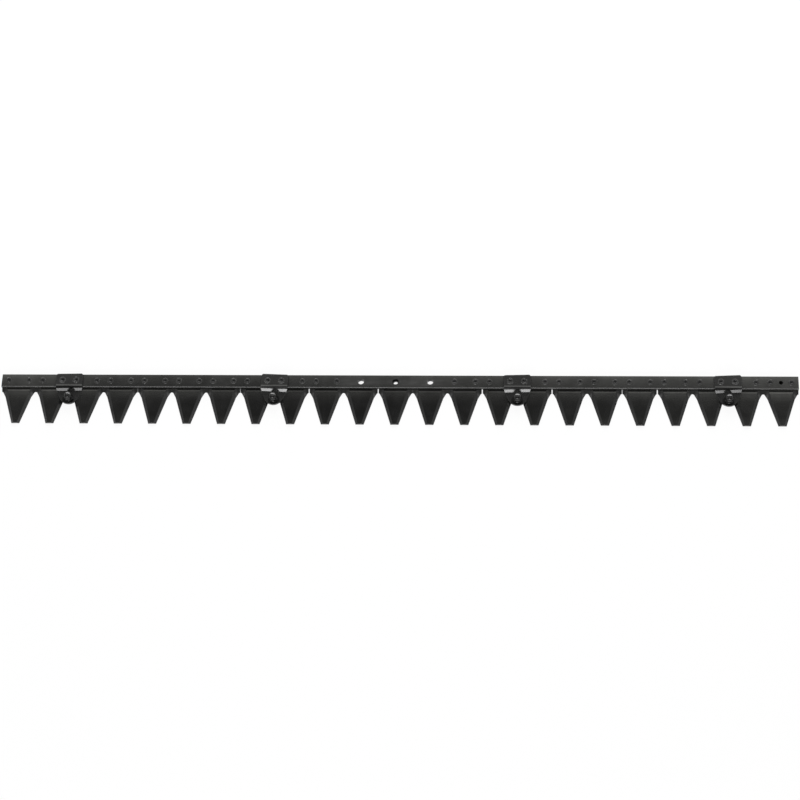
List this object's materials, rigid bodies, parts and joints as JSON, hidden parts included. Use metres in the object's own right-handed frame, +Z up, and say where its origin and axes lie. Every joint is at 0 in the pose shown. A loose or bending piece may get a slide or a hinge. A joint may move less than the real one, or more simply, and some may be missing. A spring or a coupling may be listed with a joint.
{
  "type": "mower cutter bar knife",
  "caption": "Long toothed knife of a double-action mower cutter bar, with bevelled section plates riveted under a flat back bar and ball brackets for its guide arms.",
  "frame": {"origin": "axis of the middle drive hole, at the flat sliding underside", "axes": "+X along the knife, to the right as pictured; teeth point to -Y; +Z up, from the underside to the balls"},
  "size_m": [1.15, 0.0757, 0.0196],
  "materials": {
    "bar_paint": "black paint, semi-gloss, rubbed lighter round the drive holes",
    "section_paint": "black paint, semi-gloss",
    "bracket_paint": "black paint, semi-gloss, over a forging",
    "ball_steel": "dark hardened steel, glossy",
    "rivet_paint": "black paint, semi-gloss, over the set heads"
  },
  "bodies": {
    "root": {"back_bar": "bar_paint", "section_01": "section_paint", "section_02": "section_paint", "section_03": "section_paint", "section_04": "section_paint", "section_05": "section_paint", "section_06": "section_paint", "section_07": "section_paint", "section_08": "section_paint", "section_09": "section_paint", "section_10": "section_paint", "section_11": "section_paint", "section_12": "section_paint", "section_13": "section_paint", "bracket_1": "bracket_paint", "bracket_2": "bracket_paint", "bracket_3": "bracket_paint", "bracket_4": "bracket_paint", "ball_stud_1": "ball_steel", "ball_stud_2": "ball_steel", "ball_stud_3": "ball_steel", "ball_stud_4": "ball_steel", "section_rivets": "rivet_paint", "flush_rivets": "rivet_paint", "bracket_rivets": "rivet_paint"}
  },
  "joints": []
}
